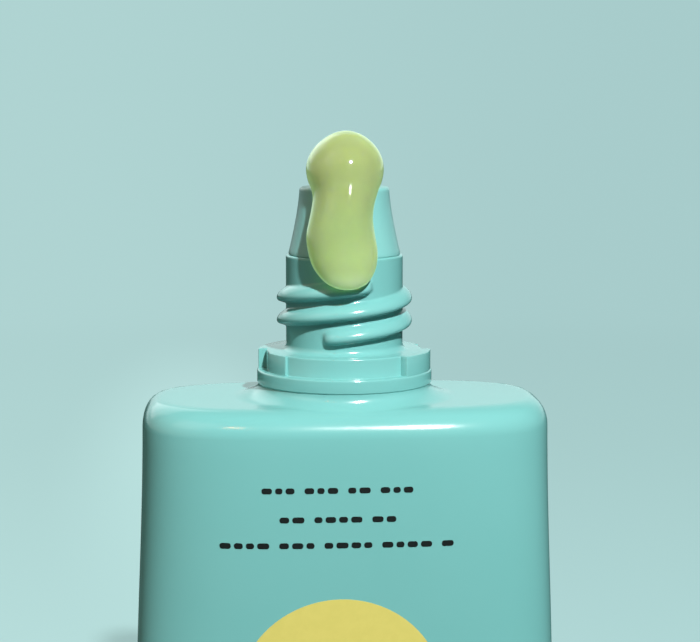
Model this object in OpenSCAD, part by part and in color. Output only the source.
// Flat oval sunscreen bottle with its screw cap taken off and stood behind it.
// Millimetres. The origin is the centre of the bottle's flat base. +Z is up and the front faces -Y.
// The cap is drawn in its closed place over the neck first, and then turned over and stood on its top.

/* [Bottle body] */
// Width of the body at the shoulder, along X
body_w = 52; // [46:0.5:70]
// Depth of the body at the shoulder, along Y
body_d = 29; // [24:0.5:40]
// Height from the base to the flat shoulder
body_h = 62; // [52:1:110]
// Thickness of the moulded side walls
body_wall = 1.1; // [0.8:0.1:1.6]
// Thickness of the shoulder under the neck
shoulder_wall = 1.5; // [1.2:0.1:2.2]
// Thickness of the base
base_wall = 1.4; // [1:0.1:2.5]
// Extra width that the body gains on the way down from the shoulder
flare_w = 2.6; // [0:0.1:5]
// Height over which the width grows
flare_run = 46; // [30:1:52]
// Depth that the body loses on the way down from the shoulder
taper_d = 6.5; // [0:0.1:8]
// Height over which the depth shrinks
taper_run = 56; // [40:1:100]
// Rounding of the shoulder edge at the two narrow sides, along X
shoulder_edge_w = 2.6; // [1.6:0.1:4]
// Rounding of the shoulder edge at the front and back, along Y
shoulder_edge_d = 3.6; // [1.6:0.1:4]
// Height of the rounded shoulder edge
shoulder_edge_h = 3.4; // [1.6:0.1:4]
// Rounding of the edge at the base
base_edge = 3.6; // [1.8:0.1:5]

/* [Neck] */
// Height of the neck from the shoulder to its rim
neck_h = 18.2; // [17.8:0.1:22]
// Outside diameter of the neck
neck_od = 15; // [14.6:0.1:15.4]
// Bore of the neck
neck_bore = 12; // [11:0.1:12.4]
// Diameter of the neck root between the shoulder and the collar
root_d = 20.6; // [19:0.1:21]
// Height of the neck root below the collar
root_h = 1.7; // [1.2:0.1:2]
// How far the foot of the neck spreads over the shoulder
foot_spread = 2.8; // [1.5:0.1:3.5]
// Diameter of the collar
collar_d = 22.5; // [22:0.1:24]
// Thickness of the collar
collar_h = 1.8; // [1.2:0.1:2.2]
// Diameter of the stepped ring above the collar
ring_d = 20.1; // [19:0.1:20.3]
// Height of the stepped ring
ring_h = 2.5; // [2:0.1:2.8]
// Diameter over the two stop lugs
lug_d = 22.2; // [21.8:0.1:22.4]
// Angle that each stop lug covers
lug_span = 45; // [20:1:60]
// Diameter over the two snap pads
pad_d = 20.9; // [20.6:0.1:21.2]
// Angle that each snap pad covers
pad_span = 23; // [10:1:30]
// Angle of the notch between a lug and its pad
notch_span = 22; // [18:1:30]

/* [Thread] */
// Rise of the thread in one turn
thread_lead = 5.8; // [5.6:0.1:6.6]
// Number of thread starts
thread_starts = 2; // [1:1:2]
// How far a thread ridge stands out of the neck
thread_depth = 1.2; // [0.8:0.05:1.3]
// Width of a thread ridge at its root
thread_w = 1.9; // [1.2:0.05:2]
// Angle that each ridge runs through
thread_sweep = 407; // [360:1:430]
// Height of the ridge's lower end above the shoulder
thread_low = 8.3; // [8:0.1:9]
// Direction of the first ridge's lower end, counted from +X
thread_angle = 246; // [0:1:359]

/* [Nozzle insert] */
// Height of the nozzle above the neck rim
nozzle_h = 8.7; // [6:0.1:14]
// Diameter of the nozzle where it sits on the rim
nozzle_base_d = 14.3; // [13.6:0.1:14.5]
// Diameter of the nozzle at its tip
nozzle_tip_d = 11.5; // [10.5:0.1:12.5]
// Wall of the nozzle cone
nozzle_wall = 1.2; // [0.8:0.1:1.4]
// Thickness of the nozzle's end plate
nozzle_end_wall = 1.3; // [1:0.1:2]
// Diameter of the outlet
outlet_d = 3; // [2:0.1:3.6]
// Length of the plug skirt inside the neck
skirt_l = 8; // [6:0.1:12]
// Wall of the plug skirt
skirt_wall = 0.9; // [0.7:0.1:1.1]
// How far the snap bead stands out of the skirt
snap_depth = 0.2; // [0.1:0.05:0.3]

/* [Sunscreen] */
// Level of the sunscreen above the base
fill_level = 50.5; // [20:0.5:50.5]
// Width of the dispensed bead
bead_w = 9.8; // [8:0.1:11]
// Height of the dispensed bead from its lowest to its highest point
bead_h = 19.5; // [17:0.1:20]
// How far the bead rises above the nozzle tip
bead_rise = 7.2; // [6.6:0.1:9]
// How far the bead reaches in front of the neck's axis
bead_reach = 10.8; // [10.2:0.1:12]

/* [Cap] */
// Wall of the oval cap shell
cap_wall = 1.5; // [1:0.1:1.8]
// Thickness of the cap shell's flat top
cap_top_wall = 1.8; // [1.2:0.1:3]
// Rounding of the cap's top edge
cap_edge = 1.6; // [0.6:0.1:2.4]
// Wall of the threaded sleeve inside the cap
sleeve_wall = 1.2; // [0.9:0.1:1.4]
// Thickness of the sealing liner
liner_t = 1.2; // [0.8:0.1:2]
// Thickness of the stiffening webs in the cap
web_t = 1; // [0.8:0.1:1.6]
// Height of the stiffening webs
web_h = 15; // [8:0.5:18]
// Gap between the bottle and the cap that stands behind it
cap_apart = 12; // [4:1:40]

/* [Hidden] */
$fn = 96;

// Clearances and overruns
press_gap = 0.03;
soft_gap = 0.2;
film_gap = 0.05;
thread_gap = 0.25;
mouth_gap = 0.4;
stop_gap = 0.3;
overrun = 1;
bury = 0.4;

// Small edge roundings and steps
moulded_edge = 0.25;
neck_fillet = 0.8;
lug_root = 0.9;
root_drop = 0.5;
nozzle_step = 0.25;
nozzle_tip_edge = 0.45;
skirt_lead = 0.6;
snap_w = 1.2;
snap_below_rim = 3;
socket_h = 5;
socket_wall = 1.2;
least_inner_edge = 0.8;

// Shape of the plan outline and number of points round it
oval_power = 3.2;
oval_points = 56;
edge_steps = 6;
side_steps = 6;
arc_steps = 3;

// Levels above the base
collar_z = body_h + root_h;
ring_z = collar_z + collar_h;
ring_top_z = ring_z + ring_h;
rim_z = body_h + neck_h;
tip_z = rim_z + nozzle_h;
cavity_top_z = body_h - shoulder_wall;

// Radii about the neck's axis
neck_r = neck_od / 2;
bore_r = neck_bore / 2;
root_r = root_d / 2;
collar_r = collar_d / 2;
ring_r = ring_d / 2;
thread_r = neck_r + thread_depth;
thread_pitch = thread_lead / thread_starts;

// Above this height the ridges have ended, and the bead lies against the neck itself
thread_end_z = body_h + thread_low + thread_lead * thread_sweep / 360 + thread_w / 2;
thread_top_z = min(thread_end_z, rim_z - film_gap);

// Foot of the neck. In front it ends where the shoulder's rounding has dropped by foot_sink.
foot_step = 0.15;
foot_sink = 0.35;
foot_top_r = collar_r - foot_step;
foot_low_w = foot_top_r + foot_spread;
foot_edge = sqrt(1 - pow(1 - foot_sink / shoulder_edge_h, 2));
foot_low_d = min(foot_low_w, body_d / 2 - shoulder_edge_d * (1 - foot_edge) - foot_step / 2);

// Directions of the stop lugs, the snap pads and the notches between them
lug_from = 131;
lug_to = lug_from + lug_span;
pad_from = lug_to + notch_span;

// Threaded sleeve of the cap, in its closed place
sleeve_r = thread_r + thread_gap;
sleeve_or = sleeve_r + sleeve_wall;
liner_z = tip_z + stop_gap;
sleeve_top_z = liner_z + liner_t + sleeve_wall;
bell_r = lug_d / 2 + stop_gap;
bell_or = bell_r + sleeve_wall;
bell_z = ring_z + mouth_gap;
bell_top_z = ring_top_z + mouth_gap;
latch_r = pad_d / 2 + press_gap;
latch_play = 8;
latch_span = notch_span - latch_play;
sleeve_thread_depth = thread_depth - thread_gap / 2;
sleeve_thread_w = thread_pitch * 0.45;
sleeve_thread_drop = 0.15;
sleeve_thread_sweep = 270;

// Cap shell, in its closed place
cap_mouth_z = body_h + mouth_gap;
cap_top_z = sleeve_top_z + cap_top_wall;
cap_half_w = max(body_w / 2, bell_or + mouth_gap + cap_wall);
cap_half_d = max(body_d / 2, bell_or + mouth_gap + cap_wall);
cap_y = body_d / 2 + cap_apart + cap_half_d;

function swell(u) = u <= 0 ? 0 : u >= 1 ? 1 : (1 - cos(180 * u)) / 2;
function body_half_w(z) = (body_w + flare_w * swell((body_h - z) / flare_run)) / 2;
function body_half_d(z) = (body_d - taper_d * swell((body_h - z) / taper_run)) / 2;
function signed_pow(v, e) = sign(v) * pow(abs(v), e);
function arc(r, z, radius, from, to, steps = arc_steps) =
    [for (i = [0:steps]) let (a = from + (to - from) * i / steps) [r + radius * cos(a), z + radius * sin(a)]];

// One level of an oval form
function oval_ring(half_w, half_d, z) =
    [for (i = [0:oval_points - 1]) let (t = 360 * i / oval_points, e = 2 / oval_power)
        [half_w * signed_pow(cos(t), e), half_d * signed_pow(sin(t), e), z]];

// One level of a round form, with as many points as an oval one
function round_ring(radius, z) =
    [for (i = [0:oval_points - 1]) let (t = 360 * i / oval_points) [radius * cos(t), radius * sin(t), z]];

// Levels up a side wall that is inset from the body's outside, with its two edges rounded
function side_rings(inset, low_z, high_z, low_edge, edge_w, edge_d, edge_h) = concat(
    [for (i = [edge_steps:-1:1]) let (a = 90 * i / edge_steps, z = low_z + low_edge * (1 - sin(a)))
        oval_ring(
            body_half_w(z) - inset - low_edge * (1 - cos(a)),
            body_half_d(z) - inset - low_edge * (1 - cos(a)), z)],
    [for (i = [0:side_steps])
        let (z = low_z + low_edge + (high_z - edge_h - low_z - low_edge) * i / side_steps)
        oval_ring(body_half_w(z) - inset, body_half_d(z) - inset, z)],
    [for (i = [1:edge_steps]) let (a = 90 * i / edge_steps, z = high_z - edge_h * (1 - sin(a)))
        oval_ring(
            body_half_w(z) - inset - edge_w * (1 - cos(a)),
            body_half_d(z) - inset - edge_d * (1 - cos(a)), z)]
);

function reversed(list) = [for (i = [len(list) - 1:-1:0]) list[i]];

// Solid skinned over a list of rings, each with the same number of points, and closed at both ends
module skin(rings) {
    count = len(rings[0]);
    last = (len(rings) - 1) * count;
    polyhedron(
        points = [for (ring = rings) each ring],
        faces = concat(
            [[for (i = [0:count - 1]) i]],
            [for (r = [0:len(rings) - 2], i = [0:count - 1])
                let (a = r * count + i, b = r * count + (i + 1) % count)
                each [[a, a + count, b], [b, a + count, b + count]]],
            [[for (i = [count - 1:-1:0]) last + i]]
        ),
        convexity = 10
    );
}

// Ring sector round the neck's axis
module sector(inner, outer, low_z, high_z, from, span) {
    translate([0, 0, low_z])
        rotate([0, 0, from])
            rotate_extrude(angle = span)
                translate([inner, 0])
                    square([outer - inner, high_z - low_z]);
}

// Helical ridge on a wall of radius wall_r. It grows out of the wall at both ends.
// A positive height points away from the axis, and a negative one towards it.
// A lean above 1 moves the crest down, so that the upper flank slopes and the lower one is steep.
module ridge(wall_r, height, width, low_z, from, sweep, lean = 1) {
    step = 13;
    run_in = 14;
    steps = ceil(sweep / step);
    profile_steps = 8;
    outward = sign(height);
    root = bury / 2;
    rings = [for (k = [0:steps])
        let (
            turned = sweep * k / steps,
            near = min(turned, sweep - turned) / run_in,
            full = near >= 1 ? 1 : sqrt(1 - pow(1 - near, 2)),
            rise = root / 2 + (abs(height) + root / 2) * full,
            half = width / 2 * (1 + full) / 2,
            a = from + turned,
            z = low_z + thread_lead * turned / 360
        )
        [for (j = [0:profile_steps + 1])
            let (
                round = 180 * (j - 1) / (profile_steps - 1),
                buried = j == 0 || j == profile_steps + 1,
                down = 1 - 2 * pow((1 - cos(round)) / 2, lean),
                out = buried ? -bury : rise * pow(max(1 - down * down, 0), 0.35) - root,
                up = j == 0 ? half : j == profile_steps + 1 ? -half : half * cos(round),
                r = wall_r + outward * out
            )
            [r * cos(a), r * sin(a), z + up]]];
    skin(outward > 0 ? rings : [for (ring = rings) reversed(ring)]);
}

// Hollow body without its neck: outer levels, the hole under the neck, then the inner levels
module body_shell() {
    inner_edge = max(base_edge - body_wall, least_inner_edge);
    inner_w = max(shoulder_edge_w - body_wall, least_inner_edge);
    inner_d = max(shoulder_edge_d - body_wall, least_inner_edge);
    inner_h = max(shoulder_edge_h - body_wall, least_inner_edge);
    hole_r = (bore_r + root_r) / 2;
    skin(concat(
        side_rings(0, 0, body_h, base_edge, shoulder_edge_w, shoulder_edge_d, shoulder_edge_h),
        [round_ring(hole_r, body_h), round_ring(hole_r, cavity_top_z)],
        reversed(side_rings(body_wall, base_wall, cavity_top_z, inner_edge, inner_w, inner_d, inner_h))
    ));
}

// Neck, from the thickened root inside the shoulder to the rim, with the groove for the nozzle's snap bead
module neck_tube() {
    groove_r = bore_r + snap_depth + film_gap;
    groove_z = rim_z - snap_below_rim;
    groove_half = snap_w / 2 + film_gap;
    edge = moulded_edge;
    rotate_extrude()
        polygon(concat(
            [[bore_r, cavity_top_z - root_drop], [root_r, cavity_top_z - root_drop], [root_r, collar_z]],
            arc(collar_r - edge, collar_z + edge, edge, -90, 0),
            arc(collar_r - edge, ring_z - edge, edge, 0, 90),
            [[ring_r, ring_z]],
            arc(ring_r - edge, ring_top_z - edge, edge, 0, 90),
            arc(neck_r + neck_fillet, ring_top_z + neck_fillet, neck_fillet, 270, 180),
            arc(neck_r - edge, rim_z - edge, edge, 0, 90),
            [[bore_r, rim_z], [bore_r, groove_z + groove_half]],
            [[groove_r, groove_z + groove_half - snap_depth]],
            [[groove_r, groove_z - groove_half + snap_depth], [bore_r, groove_z - groove_half]]
        ));
}

// Foot that spreads in a hollow curve from under the collar down onto the shoulder
module neck_foot() {
    steps = 4;
    hollow = 2.4;
    low_z = body_h - foot_sink;
    rings = [for (i = [-1:steps])
        let (
            u = max(i, 0) / steps,
            spread = pow(1 - u, hollow),
            half_w = foot_top_r + (foot_low_w - foot_top_r) * spread,
            half_d = foot_top_r + (foot_low_d - foot_top_r) * spread,
            z = i < 0 ? low_z - foot_step : low_z + (collar_z + bury - low_z) * u
        )
        [for (j = [0:oval_points - 1]) let (t = 360 * j / oval_points) [half_w * cos(t), half_d * sin(t), z]]];
    difference() {
        skin(rings);
        translate([0, 0, cavity_top_z])
            cylinder(r = root_r - lug_root, h = collar_h + root_h + shoulder_wall);
    }
}

module bottle_body() {
    half_turn = 180;
    thread_lean = 1.8;
    color("#76c3bc")
        union() {
            body_shell();
            neck_tube();
            neck_foot();
            for (turn = [0, half_turn]) {
                sector(ring_r - lug_root, lug_d / 2, ring_z - bury, ring_top_z, lug_from + turn, lug_span);
                sector(ring_r - lug_root, pad_d / 2, ring_z - bury, ring_top_z, pad_from + turn, pad_span);
            }
            for (start = [0:thread_starts - 1])
                ridge(
                    neck_r, thread_depth, thread_w, body_h + thread_low,
                    thread_angle + 360 * start / thread_starts, thread_sweep, thread_lean);
        }
}

// Outside of the nozzle cone: it narrows quickly above the rim and then more slowly
function nozzle_r(share) =
    nozzle_tip_d / 2 + (nozzle_base_d - nozzle_tip_d) / 2 * pow(1 - share, 1.4);

module nozzle_insert() {
    skirt_r = bore_r - press_gap;
    skirt_in = bore_r - skirt_wall;
    skirt_z = rim_z - skirt_l;
    bead_z = rim_z - snap_below_rim;
    end_z = tip_z - nozzle_end_wall;
    edge_from = 30;
    cone_steps = 8;
    cone_low = rim_z + nozzle_step;
    cone_high = tip_z - nozzle_tip_edge;
    color("#7fccc6")
        rotate_extrude()
            polygon(concat(
                [[skirt_in, skirt_z], [skirt_r - skirt_lead / 2, skirt_z], [skirt_r, skirt_z + skirt_lead]],
                [[skirt_r, bead_z - snap_w / 2], [skirt_r + snap_depth, bead_z - snap_w / 2 + snap_depth]],
                [[skirt_r + snap_depth, bead_z + snap_w / 2 - snap_depth], [skirt_r, bead_z + snap_w / 2]],
                [[skirt_r, rim_z], [nozzle_base_d / 2, rim_z]],
                [for (i = [0:cone_steps]) let (share = i / cone_steps)
                    [nozzle_r(share), cone_low + (cone_high - cone_low) * share]],
                arc(nozzle_tip_d / 2 - nozzle_tip_edge, tip_z - nozzle_tip_edge, nozzle_tip_edge, edge_from, 90),
                [[outlet_d / 2, tip_z], [outlet_d / 2, end_z]],
                [[nozzle_tip_d / 2 - nozzle_wall, end_z]],
                [[skirt_in, rim_z]]
            ));
}

// Contents of the bottle, up to the fill level
module sunscreen_fill() {
    inset = body_wall + soft_gap;
    low_edge = max(base_edge - body_wall, least_inner_edge);
    low_z = base_wall + soft_gap;
    rings = side_rings(inset, low_z, fill_level, low_edge, moulded_edge, moulded_edge, moulded_edge);
    color("#b2d084")
        skin(rings);
}

// Rows of the dispensed bead, from its lowest to its highest point. In each row are the height as a share
// of bead_h, the sideways place and the half width as shares of bead_w, and the forward place and the
// half depth as shares of bead_reach.
bead_shares = [
    [0.000, -0.040, 0.010, 0.870, 0.005],
    [0.010, -0.027, 0.134, 0.870, 0.067],
    [0.050, -0.032, 0.282, 0.829, 0.148],
    [0.135, -0.051, 0.399, 0.741, 0.255],
    [0.233, -0.070, 0.443, 0.685, 0.315],
    [0.335, -0.094, 0.440, 0.634, 0.352],
    [0.430, -0.087, 0.409, 0.593, 0.370],
    [0.515, -0.061, 0.399, 0.546, 0.387],
    [0.586, -0.032, 0.411, 0.481, 0.417],
    [0.635, -0.020, 0.446, 0.370, 0.495],
    [0.689, -0.018, 0.483, 0.338, 0.491],
    [0.756, -0.017, 0.500, 0.319, 0.479],
    [0.829, -0.013, 0.472, 0.306, 0.446],
    [0.905, -0.006, 0.378, 0.296, 0.366],
    [0.965, -0.001, 0.235, 0.292, 0.231],
    [0.993, -0.001, 0.103, 0.287, 0.102],
    [1.000, 0.008, 0.010, 0.287, 0.005]
];

// Smooth curve through the rows, at a place that counts rows
function between_rows(rows, place) =
    let (
        i = min(floor(place), len(rows) - 2),
        u = place - i,
        a = rows[max(i - 1, 0)],
        b = rows[i],
        c = rows[i + 1],
        d = rows[min(i + 2, len(rows) - 1)]
    )
    b + u / 2 * ((c - a) + u * ((2 * a - 5 * b + 4 * c - d) + u * (3 * b - a - 3 * c + d)));

// Bead of sunscreen that has come out of the nozzle, sits on its tip and hangs down in front of it
module sunscreen_bead() {
    low_z = tip_z + bead_rise - bead_h;
    points_round = 32;
    rows_apart = 1 / 2;
    stem_r = outlet_d / 2 - film_gap;
    rings = [for (place = [0:rows_apart:len(bead_shares) - 1]) let (row = between_rows(bead_shares, place))
        [for (i = [0:points_round - 1]) let (t = 360 * i / points_round)
            [
                bead_w * (row[1] + row[2] * cos(t)),
                -bead_reach * (row[3] + row[4] * sin(t)),
                low_z + bead_h * row[0]
            ]]];
    color("#b2d084")
        union() {
            difference() {
                skin([for (ring = rings) reversed(ring)]);
                nozzle_space();
            }
            translate([0, 0, tip_z - nozzle_end_wall])
                cylinder(r = stem_r, h = nozzle_end_wall + overrun);
        }
}

// Space that the nozzle and the neck keep for themselves, a film's thickness larger than they are
module nozzle_space() {
    steps = 8;
    rotate_extrude()
        polygon(concat(
            [[0, ring_top_z], [thread_r + film_gap, ring_top_z]],
            [[thread_r + film_gap, thread_top_z + film_gap]],
            [[neck_r + film_gap, thread_top_z + film_gap], [neck_r + film_gap, rim_z + film_gap]],
            [for (i = [0:steps]) let (share = i / steps)
                [nozzle_r(share) + film_gap, rim_z + nozzle_step + film_gap + (nozzle_h - nozzle_step) * share]],
            [[0, tip_z + film_gap]]
        ));
}

// Turns the cap over and stands it on its flat top behind the bottle
module stand_cap() {
    half_turn = 180;
    translate([0, cap_y, cap_top_z])
        rotate([half_turn, 0, 0])
            children();
}

// Oval shell of the cap with the socket and the webs that hold the threaded sleeve
module cap_shell() {
    socket_r = sleeve_or + press_gap;
    inner_top_z = cap_top_z - cap_top_wall;
    outer_rings = [for (i = [0:edge_steps]) let (a = 90 * i / edge_steps)
        oval_ring(
            cap_half_w - cap_edge * (1 - cos(a)), cap_half_d - cap_edge * (1 - cos(a)),
            cap_top_z - cap_edge * (1 - sin(a)))];
    inner_rings = [for (z = [cap_mouth_z, inner_top_z])
        oval_ring(cap_half_w - cap_wall, cap_half_d - cap_wall, z)];
    color("#76c3bc")
        stand_cap()
            union() {
                skin(concat(reversed(inner_rings), [oval_ring(cap_half_w, cap_half_d, cap_mouth_z)], outer_rings));
                translate([0, 0, inner_top_z - socket_h])
                    difference() {
                        cylinder(r = socket_r + socket_wall, h = socket_h + bury);
                        translate([0, 0, -overrun])
                            cylinder(r = socket_r, h = socket_h + overrun);
                    }
                for (side = [-1, 1]) {
                    web_box(side, 0, socket_r + press_gap, cap_half_w - cap_wall + bury);
                    web_box(0, side, socket_r + press_gap, cap_half_d - cap_wall + bury);
                }
            }
}

// Flat web from the socket out to the wall, along X or along Y
module web_box(along_x, along_y, from, to) {
    inner_top_z = cap_top_z - cap_top_wall;
    run = to - from;
    size = [along_x != 0 ? run : web_t, along_y != 0 ? run : web_t, web_h + bury];
    middle = (from + to) / 2;
    translate([along_x * middle - size[0] / 2, along_y * middle - size[1] / 2, inner_top_z - web_h])
        cube(size);
}

// Sleeve inside the cap: a bell over the stop lugs, the inner thread, and a closed end
module cap_thread_sleeve() {
    half_turn = 180;
    thread_from = thread_angle + 90;
    latch_from = lug_to + 1;
    color("#6db9b3")
        stand_cap()
            union() {
                rotate_extrude()
                    polygon([
                        [bell_r, bell_z], [bell_or, bell_z], [bell_or, bell_top_z + sleeve_wall],
                        [sleeve_or, bell_top_z + 2 * sleeve_wall], [sleeve_or, sleeve_top_z], [0, sleeve_top_z],
                        [0, sleeve_top_z - sleeve_wall], [sleeve_r, sleeve_top_z - sleeve_wall],
                        [sleeve_r, bell_top_z], [bell_r, bell_top_z]
                    ]);
                for (turn = [0, half_turn])
                    sector(latch_r, bell_r + bury, bell_z, bell_top_z + bury, latch_from + turn, latch_span);
                for (start = [0:thread_starts - 1])
                    ridge(
                        sleeve_r, -sleeve_thread_depth, sleeve_thread_w,
                        body_h + thread_low + (thread_lead - 2 * thread_pitch) / 4 - sleeve_thread_drop,
                        thread_from + 360 * start / thread_starts, sleeve_thread_sweep);
            }
}

// Soft liner against the sleeve's closed end, which seals the nozzle tip
module cap_liner() {
    color("#e9efe6")
        stand_cap()
            translate([0, 0, liner_z])
                cylinder(r = sleeve_r - press_gap, h = liner_t);
}

bottle_body();
nozzle_insert();
sunscreen_fill();
sunscreen_bead();
cap_shell();
cap_thread_sleeve();
cap_liner();
